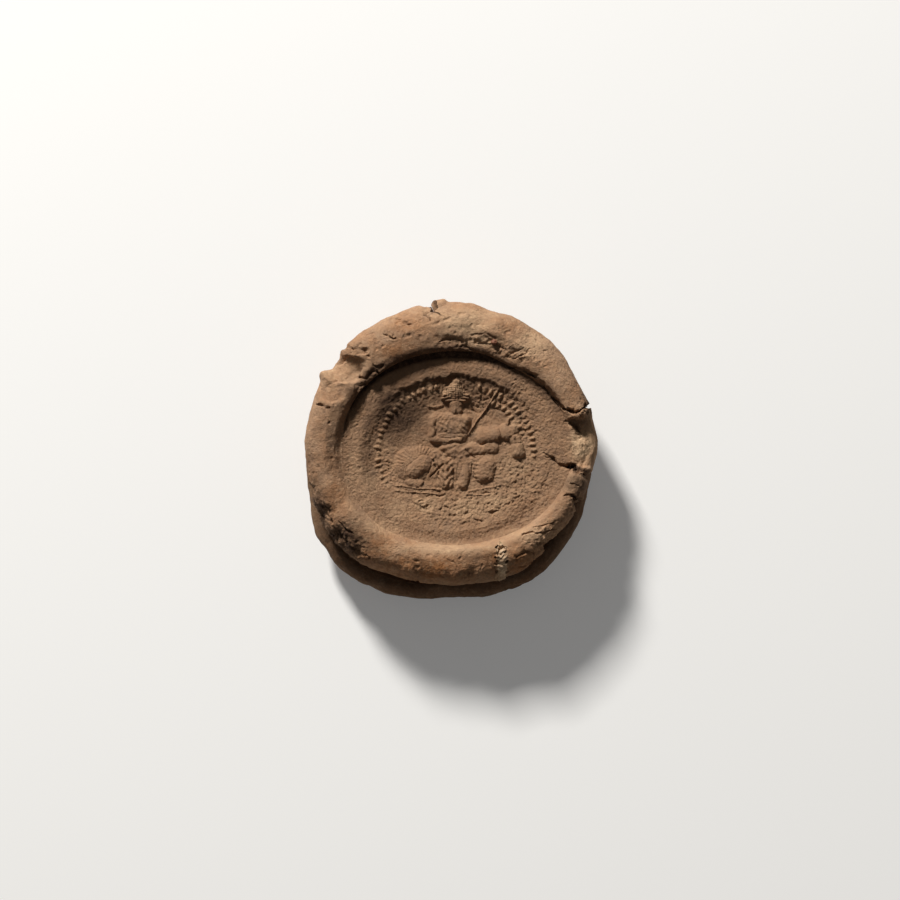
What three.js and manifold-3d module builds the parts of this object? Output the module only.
// A clay bulla: the lump of clay that closed a tied cord and took the mark of an oval seal.
//
// A back pad of clay went under the cord and a front pad over it. An engraved stone in a metal
// setting was then pushed into the front pad. The stone left a sunk picture of a rider, the
// setting left a smooth oval ring round it, and the clay that they displaced stands up as a rim.
// The clay later cracked, so the rim is made of the pieces between its open cracks.
//
// Lengths are millimetres. The origin lies on the resting face, below the middle of the seal mark.
// +Z leaves the sealed face, +Y is the top of the picture and +X is its right side.

import * as THREE from "three";
import { mergeVertices } from "three/addons/utils/BufferGeometryUtils.js";
import Module from "manifold-3d";

const wasm = await Module();
wasm.setup();

// Driving sizes of the two pads. The rim's width is its mean one, outside the ring.
const backThickness = 7.8;
const frontThickness = 3.7;
const rimHeight = 2.7;
const rimWidth = 6.5;

// The open joint between pieces of clay, and how far the widest crack gapes at the edge
const crackGap = 0.28;
const crackMouth = 1;

// The seal mark: the setting's ring and the stone's sunk picture inside it
const ringHalfWidth = 18.9;
const ringHalfHeight = 15.5;
const fieldHalfWidth = 14.4;
const fieldHalfHeight = 12.6;
const fieldShiftX = -0.35;
const fieldShiftY = -0.3;
const fieldDepth = 1.9;
const fieldStepWidth = 0.45;
const fieldDropDepth = 0.85;
const fieldDropWidth = 2.4;
const ringDishDepth = 0.65;

// The picture in the stone's mark
const reliefHeight = 1.15;
const reliefCellWidth = 0.58;
const tickLength = 0.9;
const tickWidth = 0.55;
const tickHeight = 0.32;
const tickStepLength = 0.95;

// The two holes that the cord left, and how far their mouths climb through the tongue
const cordHoleRadius = 1.15;
const cordMouthHeight = 4.4;

// The broad waves that fingers left on the rim
const waveLength = 1.8;
const waveHeight = 0.2;

// The torn flake, the loose grains and the filled crack
const flakeThickness = 2.3;
const lipGrainRadius = 0.75;
const crackGrainRadius = 0.85;
const filledCrackWidth = 1.63;

// How far a cut runs past what it cuts, and the distance within which corners are one
const cutOverrun = 2;
const weldDistance = 0.0001;

// How finely the round shapes are stepped
const padStations = 96;
const backStations = 72;

const fullTurn = 2 * Math.PI;

// Levels that follow from the sizes
const seamHeight = backThickness + crackGap / 2;
const frontBottom = backThickness + crackGap;
const ringHeight = frontBottom + frontThickness;
const topHeight = ringHeight + rimHeight;

// How far the ring swells out of a true oval, as shares of its radius, every 15 degrees from +X
// round by +Y
const ringSwellShares = [
  0, 0, 0.005, 0.005, 0.012, 0.052, 0.058, 0.063, 0.072, 0.088, 0.07, 0.014,
  0, 0.01, 0.03, 0.045, 0.03, 0.015, 0.01, 0, 0, 0, 0, 0,
];

// How far each pad's edge stands out past the ring, as shares of rimWidth, at the same angles
const frontEdgeShares = [
  0.63, 0.71, 0.81, 1.03, 1.23, 1.17, 1.32, 1.28, 1.21, 1.06, 0.99, 0.96,
  0.97, 0.95, 1.04, 1.06, 1.02, 1.02, 0.97, 0.99, 0.96, 0.74, 0.62, 0.56,
];
const backEdgeShares = [
  0.55, 0.58, 0.7, 0.92, 1.1, 1.03, 1.14, 1.16, 1.09, 0.95, 0.87, 0.91,
  0.93, 1.05, 1.3, 1.46, 1.47, 1.4, 1.26, 1.3, 1.27, 1.05, 0.87, 0.6,
];

// Height of the rim over the ring, as shares of rimHeight, at the same angles
const crestHeightShares = [
  0.3, 0.62, 0.7, 0.74, 0.76, 0.78, 0.8, 0.82, 0.84, 0.82, 0.72, 0.72,
  0.74, 0.76, 0.8, 0.78, 0.76, 0.74, 0.74, 0.74, 0.72, 0.68, 0.66, 0.6,
];

// Where the crest stands between the ring, at 0, and the pad's edge, at 1
const crestPlaceShares = [
  0.4, 0.34, 0.32, 0.34, 0.4, 0.44, 0.44, 0.42, 0.4, 0.38, 0.36, 0.4,
  0.42, 0.44, 0.46, 0.46, 0.42, 0.38, 0.34, 0.34, 0.38, 0.42, 0.42, 0.42,
];

// How steep the rim's inner face is: 0 where it slopes gently, 1 where it stands up as a lip
const lipShares = [
  0, 0.1, 0.4, 0.7, 0.9, 1, 1, 1, 1, 0.9, 0.5, 0.3,
  0.2, 0.1, 0, 0, 0, 0, 0, 0, 0, 0, 0, 0,
];

// How far the rim's foot is drawn in under its edge, as shares of frontThickness
const undercutShares = [
  0.15, 0.15, 0.1, 0.1, 0.1, 0.1, 0.1, 0.1, 0.1, 0.1, 0.15, 0.2,
  0.2, 0.3, 0.55, 0.7, 0.45, 0.2, 0.15, 0.15, 0.2, 0.25, 0.2, 0.2,
];

// The back pad's side, as [out, up] shares of its plan radius and of backThickness
const backSideShares = [
  [0.66, 0], [0.8, 0.05], [0.9, 0.17], [0.965, 0.36], [1, 0.56], [0.99, 0.74], [0.955, 0.88], [0.9, 0.97], [0.82, 1],
];

// Steps over the rim's shoulder and up its inner face, as shares of the way out and of its height
const shoulderOutShares = [1, 0.985, 0.93, 0.82, 0.66, 0.45, 0.22];
const shoulderPowerShares = [2.4, 0.45];
const bulgeHeightShare = 0.4;
const footShares = [0.6, 0.45];
const gentleFaceShares = [[0.45, 0.82], [0.12, 0.25]];
const steepFaceShares = [[0.5, 0.78], [0.01, 0.36]];

// The round face of the stone left a hollow. It is deepest at a place that is a share of the
// field's size, and shallower by bowlShare of fieldDepth at its edge. At the top its edge drops.
const deepestShares = [-0.085, 0.095];
const bowlShare = 0.6;
const dropTurnShares = [0.35, 0.85];
const dropEndShare = 0.2;
const softRunShare = 3.3;
const softTurnShares = [0.1, 0.8];
const dishShares = [0.5, 0.75];

// The waves on the rim, by shares of waveLength, and how soon they start outside the ring, as a
// share of rimWidth
const waveShares = { bendX: 1.4, paceY: 0.7, startY: 0.7, stretchY: 0.9, bendY: 1.2, paceX: 0.6, startX: 2.1 };
const handledShare = 0.4;

// Places pressed in by a finger or broken away: [x, y, half width, half height], as shares of
// ringHalfWidth, then the depth as a share of rimHeight and the share of the way in that slopes
const dentShares = [
  [-0.979, 0.704, 0.206, 0.138, 0.259, 0.25], [-0.825, 0.857, 0.074, 0.042, 0.111, 0.6],
  [-1.09, 0.497, 0.138, 0.111, 0.13, 0.35], [-0.963, 0.899, 0.042, 0.042, 0.185, 0.8],
  [-1.302, -0.339, 0.063, 0.069, 0.259, 0.7], [0.138, 0.921, 0.148, 0.053, 0.259, 0.3],
  [0.328, 0.878, 0.122, 0.058, 0.222, 0.3], [1.074, 0.021, 0.116, 0.18, 0.093, 0.3],
  [1.048, -0.471, 0.058, 0.063, 0.222, 0.6], [0.804, -0.825, 0.069, 0.053, 0.185, 0.7],
  [-1.037, -0.741, 0.079, 0.069, 0.185, 0.6], [-0.878, -0.889, 0.063, 0.048, 0.167, 0.6],
  [-1.185, -0.561, 0.063, 0.069, 0.148, 0.6],
];

// Stretches where the rim is pressed down. Here and below, the shares named start, end, fade and
// turn are of a full turn from +X by +Y. Keep is the share of the rim's height that is left.
const tongueGapShares = { startShare: -0.025, endShare: 0.044, fadeShare: 0.008, keepShare: 0.04 };
const fingerPressShares = { startShare: 0.383, endShare: 0.417, fadeShare: 0.014, keepShare: 0.42 };

// Cracks through the rim. Each goes outwards by steps of [out, turn], where out is the share of the
// way from the ring to the edge, and opens at the edge by its mouth, a share of crackMouth.
const crackShares = {
  rightUpper: { mouthShare: 0.9, wayShares: [[0, 0.058], [0.35, 0.047], [0.75, 0.044], [1, 0.051]] },
  top: { mouthShare: 0.8, wayShares: [[0, 0.261], [0.3, 0.272], [0.55, 0.265], [0.8, 0.276], [1, 0.278]] },
  upperLeft: { mouthShare: 0.3, wayShares: [[0, 0.382], [0.3, 0.371], [0.65, 0.372], [1, 0.386]] },
  lowerLeft: { mouthShare: 0.5, wayShares: [[0, 0.622], [0.3, 0.614], [0.6, 0.603], [1, 0.594]] },
  bottom: { mouthShare: 0, wayShares: [[0, 0.821], [0.35, 0.814], [0.7, 0.808], [1, 0.803]] },
  rightLower: { mouthShare: 0.35, wayShares: [[0, 0.942], [0.3, 0.9375], [0.6, 0.933], [1, 0.939]] },
  rightMiddle: { mouthShare: 1.1, wayShares: [[0, 0.978], [0.3, 0.976], [0.65, 0.972], [1, 0.969]] },
};
const crackReachShare = 1.6;

// The relief. Each form is a chain of [x, y, radius], in shares of fieldHalfWidth, and rises by
// its share of reliefHeight. Together they make a plain mounted rider.
const bodyShares = {
  barrel: { riseShare: 0.5, chainShares: [[-0.42, -0.12, 0.19], [-0.05, -0.17, 0.16], [0.3, -0.16, 0.14]] },
  rump: { riseShare: 0.72, chainShares: [[-0.53, -0.15, 0.205], [-0.44, -0.13, 0.2]] },
  thigh: { riseShare: 1.06, chainShares: [[-0.49, -0.21, 0.115], [-0.4, -0.145, 0.12]] },
  hock: { riseShare: 0.6, chainShares: [[-0.53, -0.34, 0.07], [-0.41, -0.36, 0.055]] },
  chest: { riseShare: 0.98, chainShares: [[0.325, -0.17, 0.125], [0.305, -0.25, 0.125]] },
  breast: { riseShare: 0.74, chainShares: [[0.17, 0.02, 0.075], [0.3, 0.03, 0.08], [0.42, 0.04, 0.06]] },
  neck: { riseShare: 0.86, chainShares: [[0.31, 0.175, 0.1], [0.39, 0.185, 0.105], [0.45, 0.2, 0.095]] },
  cheek: { riseShare: 0.96, chainShares: [[0.58, 0.225, 0.1], [0.625, 0.225, 0.09]] },
  noseBone: { riseShare: 0.85, chainShares: [[0.66, 0.16, 0.065], [0.7, 0.1, 0.06]] },
  muzzle: { riseShare: 0.95, chainShares: [[0.7, 0.05, 0.075], [0.7, 0, 0.075]] },
  skirt: { riseShare: 0.72, chainShares: [[-0.2, -0.01, 0.06], [-0.06, -0.05, 0.1], [0.06, -0.04, 0.08]] },
  cloth: { riseShare: 0.6, chainShares: [[-0.16, -0.12, 0.1], [-0.13, -0.35, 0.09]] },
  leg: { riseShare: 1, chainShares: [[0.06, -0.09, 0.085], [0.115, -0.14, 0.085], [0.075, -0.39, 0.06]] },
  torso: { riseShare: 0.9, chainShares: [[-0.155, 0.3, 0.14], [-0.03, 0.29, 0.145]] },
  shoulders: { riseShare: 0.84, chainShares: [[-0.2, 0.375, 0.08], [0.05, 0.365, 0.07]] },
  waist: { riseShare: 0.86, chainShares: [[-0.18, 0.17, 0.095], [0, 0.16, 0.095]] },
  upperArm: { riseShare: 0.98, chainShares: [[-0.245, 0.37, 0.05], [-0.255, 0.19, 0.045]] },
  forearm: {
    riseShare: 1.1,
    chainShares: [[-0.235, 0.155, 0.042], [-0.1, 0.14, 0.042], [0.075, 0.14, 0.032]],
  },
  head: { riseShare: 0.84, chainShares: [[-0.015, 0.52, 0.085], [-0.01, 0.46, 0.078]] },
  helmet: { riseShare: 0.88, chainShares: [[-0.035, 0.64, 0.12], [-0.015, 0.72, 0.07], [0, 0.79, 0.022]] },
  hindHoof: { riseShare: 0.3, chainShares: [[-0.46, -0.56, 0.05], [-0.38, -0.6, 0.045]] },
  foreHoof: { riseShare: 0.26, chainShares: [[0.42, -0.55, 0.06], [0.46, -0.62, 0.05]] },
  midHoof: { riseShare: 0.24, chainShares: [[0.06, -0.6, 0.06], [0.08, -0.68, 0.045]] },
};
const lineShares = {
  lance: { riseShare: 0.6, chainShares: [[0.09, 0.15, 0.01], [0.3, 0.448, 0.014], [0.45, 0.664, 0.02]] },
  streamer: {
    riseShare: 0.36,
    chainShares: [[-0.17, 0.53, 0.018], [-0.26, 0.51, 0.016], [-0.36, 0.535, 0.012]],
  },
  brow: { riseShare: 0.95, chainShares: [[-0.19, 0.6, 0.017], [-0.05, 0.6, 0.019], [0.085, 0.612, 0.016]] },
  band: {
    riseShare: 0.9,
    chainShares: [[-0.15, 0.565, 0.016], [-0.04, 0.568, 0.018], [0.075, 0.58, 0.015]],
  },
  ear: { riseShare: 0.7, chainShares: [[0.575, 0.3, 0.026], [0.585, 0.35, 0.016]] },
  leftUpperHem: { riseShare: 0.28, chainShares: [[-0.69, -0.403, 0.013], [-0.2, -0.448, 0.013]] },
  leftLowerHem: { riseShare: 0.26, chainShares: [[-0.7, -0.458, 0.013], [-0.2, -0.498, 0.013]] },
  rightUpperHem: { riseShare: 0.24, chainShares: [[0.14, -0.46, 0.013], [0.49, -0.405, 0.013]] },
  rightLowerHem: {
    riseShare: 0.2,
    chainShares: [[0.12, -0.5, 0.013], [0.3, -0.51, 0.013], [0.42, -0.5, 0.013]],
  },
};
const domePowerShares = [2.2, 0.8];

// Rows of plain ticks round the picture, at a place that is a share of the field's size
const tickRowShares = [
  { startShare: 0.3, endShare: 0.606, placeShare: 0.885 },
  { startShare: -0.011, endShare: 0.206, placeShare: 0.9 },
  { startShare: 0.044, endShare: 0.156, placeShare: 0.79 },
];

// The ways of the cord's holes, by steps of [out, turn, climb]. Out goes from 0 at the middle to 1
// at the ring and 2 at the pad's edge, and climb is a share of cordMouthHeight over the seam.
const cordWayShares = {
  upper: [
    [2.45, 0.032, 1], [1.36, 0.0325, 0.6], [0.86, 0.035, 0.13], [0.45, 0.078, 0],
    [0.54, 0.4175, 0], [1.16, 0.458, 0], [2.9, 0.472, 0],
  ],
  lower: [
    [2.57, 0.9765, 1], [1.33, 0.9755, 0.6], [0.86, 0.971, 0.13], [0.44, 0.93, 0],
    [0.55, 0.586, 0], [1.24, 0.551, 0], [2.98, 0.541, 0],
  ],
};

// The flake's torn edge, by steps of [out, turn], and how far its plan reaches in over the ring
const flakeTearShares = [
  [0.07, 0.183], [0.2, 0.189], [0.15, 0.203], [0.24, 0.219], [0.19, 0.236], [0.25, 0.25], [0.07, 0.253],
];
const flakeReachShare = 0.12;

// Where the two grains lie: up is a share of the rim's height there
const lipGrainShares = { turnShare: 0.197, outShare: 0.3, upShare: 0.8 };
const crackGrainShares = { turnShare: 0.817, outShare: 0.17, upShare: 0.35 };
const grainFlatShare = 0.8;

// A value from shares spread evenly round the lump, read on a smooth closed curve.
function around(shares, angle) {
  const place = THREE.MathUtils.euclideanModulo(angle / fullTurn, 1) * shares.length;
  const index = Math.floor(place);
  const [before, start, end, after] = [-1, 0, 1, 2].map(
    (step) => shares[(index + step + shares.length) % shares.length],
  );
  const t = place - index;
  const bend = (2 * before - 5 * start + 4 * end - after) * t + (end - before);
  return start + 0.5 * t * (bend + (3 * (start - end) + after - before) * t * t);
}

// 1 outside a pressed stretch and its keepShare inside it, with soft ends.
function pressed({ startShare, endShare, fadeShare, keepShare }, angle) {
  const turn = angle / fullTurn - (startShare + endShare) / 2;
  const away = Math.abs(turn - Math.round(turn));
  const half = (endShare - startShare) / 2;
  return THREE.MathUtils.lerp(keepShare, 1, THREE.MathUtils.smoothstep(away, half - fadeShare, half));
}

const ovalRadius = (halfWidth, halfHeight, angle) =>
  (halfWidth * halfHeight) / Math.hypot(halfHeight * Math.cos(angle), halfWidth * Math.sin(angle));
const ringRadius = (angle) =>
  ovalRadius(ringHalfWidth, ringHalfHeight, angle) * (1 + around(ringSwellShares, angle));
const fieldRadius = (angle) =>
  ovalRadius(fieldHalfWidth, fieldHalfHeight, angle) +
  fieldShiftX * Math.cos(angle) +
  fieldShiftY * Math.sin(angle);
const frontEdge = (angle) => ringRadius(angle) + rimWidth * around(frontEdgeShares, angle);
const backEdge = (angle) => ringRadius(angle) + rimWidth * around(backEdgeShares, angle);
const pressedDown = (angle) => pressed(tongueGapShares, angle) * pressed(fingerPressShares, angle);
const crestHeight = (angle) => rimHeight * around(crestHeightShares, angle) * pressedDown(angle);

// The floor of the stone's mark: a shallow bowl whose edge drops at the top.
function fieldFloor(x, y) {
  const angle = Math.atan2(y, x);
  const [deepX, deepY] = deepestShares;
  const away = Math.hypot(x / fieldHalfWidth - deepX, y / fieldHalfHeight - deepY);
  const edge = fieldRadius(angle);
  const [from, to] = [edge - fieldDropWidth, edge - dropEndShare * fieldDropWidth];
  const atTop = THREE.MathUtils.smoothstep(Math.sin(angle), ...dropTurnShares);
  const drop = fieldDropDepth * atTop * THREE.MathUtils.smoothstep(Math.hypot(x, y), from, to);
  return ringHeight - fieldDepth * (1 - bowlShare * away ** 2) - drop;
}

// How far fingers raised or lowered the rim at a place.
function handling(x, y) {
  const reach = Math.hypot(x, y) - ringRadius(Math.atan2(y, x));
  const [u, v] = [x / waveLength, y / waveLength];
  const { bendX, paceY, startY, stretchY, bendY, paceX, startX } = waveShares;
  const across = Math.sin(u + bendX * Math.sin(paceY * v + startY));
  const wave = waveHeight * across * Math.cos(stretchY * v + bendY * Math.sin(paceX * u + startX));
  const dents = dentShares.map(([dentX, dentY, wide, high, deep, slope]) => {
    const away = Math.hypot((x / ringHalfWidth - dentX) / wide, (y / ringHalfWidth - dentY) / high);
    return rimHeight * deep * THREE.MathUtils.smoothstep(1 - away, 0, slope);
  });
  const pressedIn = dents.reduce((sum, dent) => sum + dent, 0);
  return (wave - pressedIn) * THREE.MathUtils.smoothstep(reach, 0, handledShare * rimWidth);
}

// A closed mesh as a solid that can be cut. Its corners are merged, and flat triangles are dropped.
function solidOf(geometry) {
  const bare = geometry.clone();
  bare.deleteAttribute("normal");
  bare.deleteAttribute("uv");
  const merged = mergeVertices(bare, weldDistance);
  const corners = merged.index.array;
  const kept = [];
  for (let i = 0; i < corners.length; i += 3) {
    const [a, b, c] = [corners[i], corners[i + 1], corners[i + 2]];
    if (a !== b && b !== c && c !== a) kept.push(a, b, c);
  }
  return new wasm.Manifold(
    new wasm.Mesh({
      numProp: 3,
      vertProperties: merged.getAttribute("position").array,
      triVerts: new Uint32Array(kept),
    }),
  );
}

function geometryOf(solid) {
  const mesh = solid.getMesh();
  const geometry = new THREE.BufferGeometry();
  geometry.setAttribute("position", new THREE.BufferAttribute(mesh.vertProperties, 3));
  geometry.setIndex(new THREE.BufferAttribute(mesh.triVerts, 1));
  geometry.computeVertexNormals();
  return geometry;
}

// A turned solid whose profile changes with the angle: a lathe whose rings are then moved.
// profileAt gives [radius, height] pairs from the middle of the underside out and up and back in.
function loftRound(profileAt, stations) {
  const count = profileAt(0).length;
  const stand = Array.from({ length: count }, (_, i) => new THREE.Vector2(1, i));
  const geometry = new THREE.LatheGeometry(stand, stations);
  const position = geometry.getAttribute("position");
  for (let station = 0; station <= stations; station += 1) {
    const angle = ((station % stations) * fullTurn) / stations;
    profileAt(angle).forEach(([radius, height], i) => {
      const [x, y] = [radius * Math.cos(angle), radius * Math.sin(angle)];
      position.setXYZ(station * count + i, x, y, height);
    });
  }
  return solidOf(geometry);
}

// The clay's round shoulder: the share of its height left at a share of the way out.
function shoulderShare(out) {
  const [outPower, upPower] = shoulderPowerShares;
  return (1 - out ** outPower) ** upPower;
}

// The front pad before it cracked: underside, bulging edge, rim, ring and sunk field.
function frontPadProfile(angle) {
  const [ring, field, edge] = [ringRadius(angle), fieldRadius(angle), frontEdge(angle)];
  const rise = crestHeight(angle);
  const crest = THREE.MathUtils.lerp(ring, edge, around(crestPlaceShares, angle));
  const crestTop = ringHeight + rise;
  const foot = edge - frontThickness * around(undercutShares, angle);
  const bulge = frontBottom + bulgeHeightShare * frontThickness;
  const [footOut, footUp] = footShares;
  const lip = around(lipShares, angle);
  const softness = 1 - THREE.MathUtils.smoothstep(Math.sin(angle), ...softTurnShares);
  const run = fieldStepWidth * (1 + softRunShare * softness);
  const [dishOut, dishDeep] = dishShares;
  const bedAt = (radius) => [
    radius,
    fieldFloor(radius * Math.cos(angle), radius * Math.sin(angle)) - crackGap,
  ];
  const handled = ([radius, height]) => [
    radius,
    height + handling(radius * Math.cos(angle), radius * Math.sin(angle)),
  ];
  const rim = [
    ...shoulderOutShares.slice(1).map((out) => [
      THREE.MathUtils.lerp(crest, edge, out),
      THREE.MathUtils.lerp(bulge, crestTop, shoulderShare(out)),
    ]),
    [crest, crestTop],
    ...gentleFaceShares.map(([out, up], i) => [
      THREE.MathUtils.lerp(ring, crest, THREE.MathUtils.lerp(out, steepFaceShares[i][0], lip)),
      ringHeight + THREE.MathUtils.lerp(up, steepFaceShares[i][1], lip) * rise,
    ]),
  ];
  return [
    [0, frontBottom],
    [ring, frontBottom],
    [foot, frontBottom],
    [THREE.MathUtils.lerp(foot, edge, footOut), THREE.MathUtils.lerp(frontBottom, bulge, footUp)],
    [edge, bulge],
    ...rim.map(handled),
    [ring, ringHeight],
    [THREE.MathUtils.lerp(field + run, ring, dishOut), ringHeight - dishDeep * ringDishDepth],
    [field + run, ringHeight - ringDishDepth],
    bedAt(field),
    bedAt(field / 2),
    bedAt(0),
  ];
}

// The back pad: a flat resting face, a bulging side and a flat top under the front pad.
function backPadProfile(angle) {
  const edge = backEdge(angle);
  return [
    [0, 0],
    ...backSideShares.map(([out, up]) => [edge * out, backThickness * up]),
    [0, backThickness],
  ];
}

// A prism that stands on an outline in plan, between two heights.
function prism(outline, low, high) {
  const shape = new THREE.Shape(outline);
  const geometry = new THREE.ExtrudeGeometry(shape, { depth: high - low, bevelEnabled: false });
  geometry.translate(0, 0, low);
  return solidOf(geometry);
}

// A point between the ring, at share 0, and the pad's edge, at share 1.
function rimPoint(share, angle, aside) {
  const radius = THREE.MathUtils.lerp(ringRadius(angle) + crackGap, frontEdge(angle), share);
  const turned = angle + aside / radius;
  return new THREE.Vector2(radius * Math.cos(turned), radius * Math.sin(turned));
}

// One wall of a crack, from the ring outwards. Its side is 1 for the wall further round.
function crackWall(crack, side, spare = 0) {
  const points = [...crack.wayShares, [crackReachShare, crack.wayShares.at(-1)[1]]];
  return points.map(([out, turn]) => {
    const opening = crackMouth * crack.mouthShare * Math.min(out, 1) ** 3;
    return rimPoint(out, turn * fullTurn, side * (spare + (crackGap + opening) / 2));
  });
}

// Points along the rim at one share of the way out, at the pad's own stations that lie well
// between two turns, clear of the crack walls there.
function rimArc(out, startTurn, endTurn) {
  const turn = THREE.MathUtils.euclideanModulo(endTurn - startTurn, 1);
  const first = Math.ceil(startTurn * padStations) + 1;
  const last = Math.floor((startTurn + turn) * padStations) - 1;
  return Array.from({ length: Math.max(0, last - first + 1) }, (_, i) =>
    rimPoint(out, ((first + i) * fullTurn) / padStations, 0),
  );
}

// The plan of the rim between two cracks, taken anticlockwise.
function rimOutline(from, to, spareFrom = 0, spareTo = 0) {
  const [fromTurns, toTurns] = [from, to].map(({ wayShares }) => wayShares.map(([, turn]) => turn));
  const outer = rimArc(crackReachShare, fromTurns.at(-1), toTurns.at(-1));
  const inner = rimArc(0, fromTurns[0], toTurns[0]);
  const [start, end] = [crackWall(from, 1, spareFrom), crackWall(to, -1, spareTo)];
  return [...start, ...outer, ...end.reverse(), ...inner.reverse()];
}

// How high one form stands at a point, as a share of reliefHeight: a dome along its chain.
function formRise({ riseShare, chainShares }, x, y) {
  const [edgePower, crownPower] = domePowerShares;
  let highest = 0;
  for (let i = 1; i < chainShares.length; i += 1) {
    const [[startX, startY, startRadius], [endX, endY, endRadius]] = chainShares.slice(i - 1, i + 1);
    const [runX, runY] = [endX - startX, endY - startY];
    const reached = ((x - startX) * runX + (y - startY) * runY) / (runX ** 2 + runY ** 2);
    const along = THREE.MathUtils.clamp(reached, 0, 1);
    const radius = THREE.MathUtils.lerp(startRadius, endRadius, along);
    const away = Math.hypot(x - startX - along * runX, y - startY - along * runY) / radius;
    highest = Math.max(highest, riseShare * Math.max(0, 1 - away ** edgePower) ** crownPower);
  }
  return highest;
}

// The picture's larger forms: a fine grid over the field, each point lifted by the form over it.
function bodyRelief() {
  const reach = fieldStepWidth / 2;
  const halves = [
    fieldHalfWidth + reach + Math.abs(fieldShiftX),
    fieldHalfHeight + reach + Math.abs(fieldShiftY),
  ];
  const [width, height] = halves.map((half) => 2 * half);
  const [across, up] = [width, height].map((size) => Math.round(size / reliefCellWidth));
  const grid = new THREE.BoxGeometry(width, height, reliefHeight, across, up, 1);
  const position = grid.getAttribute("position");
  for (let i = 0; i < position.count; i += 1) {
    const [x, y] = [position.getX(i), position.getY(i)];
    const lifts = Object.values(bodyShares).map((form) =>
      formRise(form, x / fieldHalfWidth, y / fieldHalfWidth),
    );
    const lift = position.getZ(i) > 0 ? reliefHeight * Math.max(...lifts) : -reliefHeight;
    position.setZ(i, fieldFloor(x, y) + lift);
  }
  const oval = Array.from({ length: padStations }, (_, i) => {
    const angle = ((i + 0.5) * fullTurn) / padStations;
    const radius = fieldRadius(angle) + reach;
    return new THREE.Vector2(radius * Math.cos(angle), radius * Math.sin(angle));
  });
  return solidOf(grid).intersect(prism(oval, frontBottom, topHeight));
}

// The picture's thin lines: tapering bars with round ends, half sunk in the leaning floor.
function lineSolids() {
  return Object.values(lineShares).flatMap(({ riseShare, chainShares }) =>
    chainShares.slice(1).map((end, i) => {
      const [[startX, startY, startRadius], [endX, endY, endRadius]] = [chainShares[i], end].map((place) =>
        place.map((share) => share * fieldHalfWidth),
      );
      const length = Math.hypot(endX - startX, endY - startY);
      const profile = [
        [0, -startRadius], [startRadius * 0.87, -startRadius * 0.5], [startRadius, 0],
        [endRadius, length], [endRadius * 0.87, length + endRadius * 0.5], [0, length + endRadius],
      ].map(([radius, along]) => new THREE.Vector2(radius, along));
      const bar = new THREE.LatheGeometry(profile, 8);
      bar.rotateZ(Math.atan2(endY - startY, endX - startX) - Math.PI / 2);
      bar.scale(1, 1, (riseShare * reliefHeight) / Math.max(startRadius, endRadius));
      bar.translate(startX, startY, fieldFloor((startX + endX) / 2, (startY + endY) / 2));
      return solidOf(bar);
    }),
  );
}

// The rows of ticks: small lozenges that point at the middle of the picture.
function tickSolids() {
  return tickRowShares.flatMap(({ startShare, endShare, placeShare }) => {
    const ticks = [];
    let angle = startShare * fullTurn;
    while (angle < endShare * fullTurn) {
      const radius = placeShare * fieldRadius(angle);
      const tick = new THREE.OctahedronGeometry(1);
      tick.scale(tickLength / 2, tickWidth / 2, tickHeight);
      tick.rotateZ(angle);
      const [x, y] = [radius * Math.cos(angle), radius * Math.sin(angle)];
      tick.translate(x, y, fieldFloor(x, y));
      ticks.push(solidOf(tick));
      angle += tickStepLength / radius;
    }
    return ticks;
  });
}

// The hole that one strand of the cord left between the pads.
function cordHole(way) {
  const points = way.map(([out, turn, climb]) => {
    const angle = turn * fullTurn;
    const inside = ringRadius(angle) * Math.min(out, 1);
    const outside = (frontEdge(angle) - ringRadius(angle)) * Math.max(out - 1, 0);
    const radius = inside + outside;
    const height = seamHeight + climb * cordMouthHeight;
    return new THREE.Vector3(radius * Math.cos(angle), radius * Math.sin(angle), height);
  });
  const section = new THREE.Shape();
  section.absarc(0, 0, cordHoleRadius, 0, fullTurn);
  const extrudePath = new THREE.CatmullRomCurve3(points);
  const options = { extrudePath, steps: 26, curveSegments: 5, bevelEnabled: false };
  return solidOf(new THREE.ExtrudeGeometry(section, options));
}

// A rounded grain in the rim, and the wider pocket that it lies in.
function grainAndPocket(radius, { turnShare, outShare, upShare }) {
  const angle = turnShare * fullTurn;
  const place = rimPoint(outShare, angle, 0);
  return [radius, radius + crackGap].map((size) => {
    const geometry = new THREE.IcosahedronGeometry(size, 1);
    geometry.scale(1, 1, grainFlatShare);
    geometry.translate(place.x, place.y, ringHeight + upShare * crestHeight(angle));
    return solidOf(geometry);
  });
}

// The front pad, and the piece of it that stands on a plan
const frontPad = loftRound(frontPadProfile, padStations);
const cutFrom = frontBottom - cutOverrun;
const cutTo = topHeight + cutOverrun;
const pieceOn = (plan) => frontPad.intersect(prism(plan, cutFrom, cutTo));
const rimBetween = (from, to, ...spare) => pieceOn(rimOutline(from, to, ...spare));

// The back pad, and the cord's holes that run between the pads
const cordHoles = Object.values(cordWayShares).map(cordHole);
const withoutHoles = (solid) => cordHoles.reduce((left, hole) => left.subtract(hole), solid);
const backPad = withoutHoles(loftRound(backPadProfile, backStations));

// The face: the ring and the field, with the picture raised from its floor
const facePlan = Array.from({ length: padStations }, (_, i) => {
  const angle = (i * fullTurn) / padStations;
  return new THREE.Vector2(Math.cos(angle), Math.sin(angle)).multiplyScalar(ringRadius(angle));
});
const picture = [bodyRelief(), ...lineSolids(), ...tickSolids()];
const sealFace = withoutHoles(picture.reduce((face, form) => face.add(form), pieceOn(facePlan)));

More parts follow.
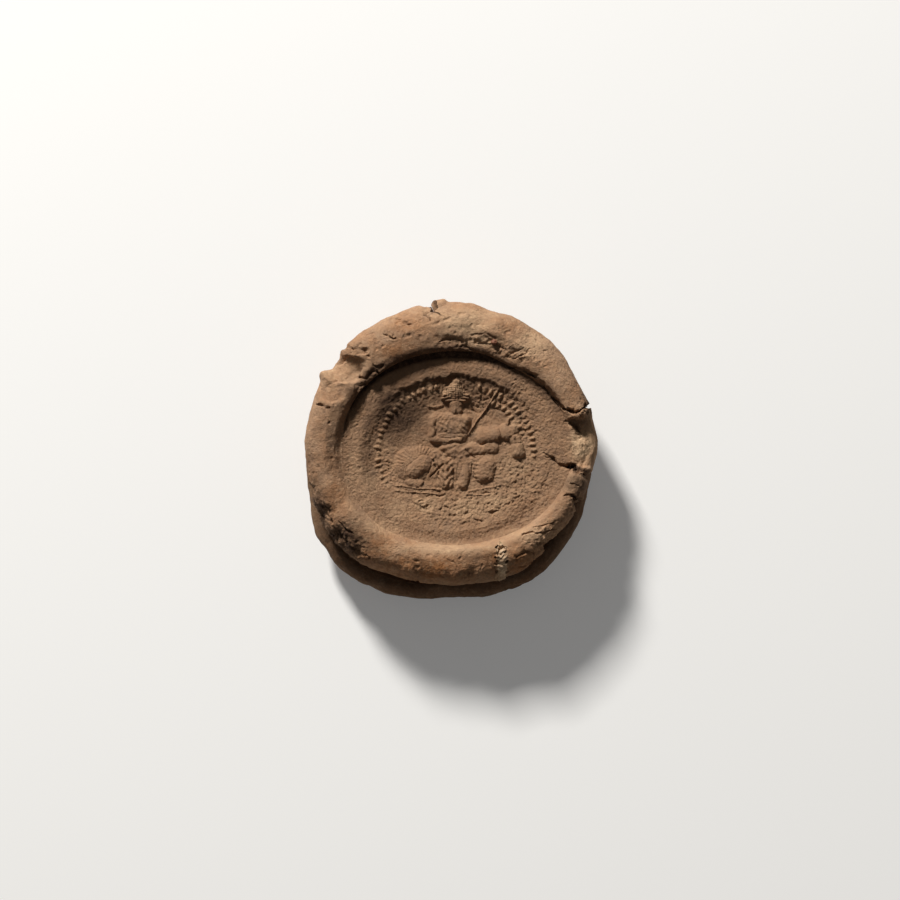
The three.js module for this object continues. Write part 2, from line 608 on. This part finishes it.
// The grains, and the crumbly filling of the bottom crack between its two walls
const [lipGrain, lipGrainPocket] = grainAndPocket(lipGrainRadius, lipGrainShares);
const [crackGrain, crackGrainPocket] = grainAndPocket(crackGrainRadius, crackGrainShares);
const filledCrack = crackShares.bottom;
const wallSpare = (filledCrackWidth - crackGap) / 2;
const fillingPlan = [
  ...crackWall(filledCrack, 1, wallSpare - crackGap),
  ...crackWall(filledCrack, -1, wallSpare - crackGap).reverse(),
];
const crackFilling = pieceOn(fillingPlan).subtract(crackGrainPocket);

// The flake torn from the lip's crest, and the bed that it lies in, wider all round
function flakePlan(room) {
  const lastStep = flakeTearShares.length - 1;
  const asideAt = (i) => (i === lastStep ? room : 0) - (i === 0 ? room : 0);
  const tear = flakeTearShares.map(([out, turn], i) => {
    const point = rimPoint(out, turn * fullTurn, asideAt(i));
    return point.setLength(point.length() + (asideAt(i) === 0 ? room : 0));
  });
  const front = flakeTearShares.map(([, turn], i) => rimPoint(-flakeReachShare, turn * fullTurn, asideAt(i)));
  return [...tear, ...front.reverse()];
}
const flakeFloor = topHeight - flakeThickness;
const flakeRoom = prism(flakePlan(0), flakeFloor, cutTo);
const flakeBed = prism(flakePlan(crackGap), flakeFloor - crackGap, cutTo);
const lipRim = rimBetween(crackShares.rightUpper, crackShares.top).subtract(lipGrainPocket);
const flake = lipRim.intersect(flakeRoom);

// Each piece of clay or grit
const pieces = {
  back_pad: backPad,
  seal_face: sealFace,
  rim_upper_right: withoutHoles(lipRim.subtract(flakeBed)),
  rim_upper_left: rimBetween(crackShares.top, crackShares.upperLeft),
  rim_left: withoutHoles(rimBetween(crackShares.upperLeft, crackShares.lowerLeft)),
  rim_bottom: rimBetween(crackShares.lowerLeft, filledCrack, 0, wallSpare).subtract(crackGrainPocket),
  rim_lower_right: rimBetween(filledCrack, crackShares.rightLower, wallSpare, 0).subtract(crackGrainPocket),
  right_chip: withoutHoles(rimBetween(crackShares.rightLower, crackShares.rightMiddle)),
  right_tongue: withoutHoles(rimBetween(crackShares.rightMiddle, crackShares.rightUpper)),
  lip_flake: flake,
  lip_grain: lipGrain,
  crack_filling: crackFilling,
  crack_grain: crackGrain,
};

// The colour of each, where it isn't the rim's own
const rimColour = 0xb08766;
const pieceColours = {
  back_pad: 0x94704f,
  seal_face: 0xa8805f,
  lip_grain: 0xa85f3c,
  crack_filling: 0xc9b79c,
  crack_grain: 0xd0bd8a,
};

const bulla = new THREE.Group();
for (const [name, solid] of Object.entries(pieces)) {
  const colour = pieceColours[name] ?? rimColour;
  const material = new THREE.MeshStandardMaterial({ color: colour, roughness: 0.92, metalness: 0 });
  const mesh = new THREE.Mesh(geometryOf(solid), material);
  mesh.name = name;
  bulla.add(mesh);
}

export default bulla;
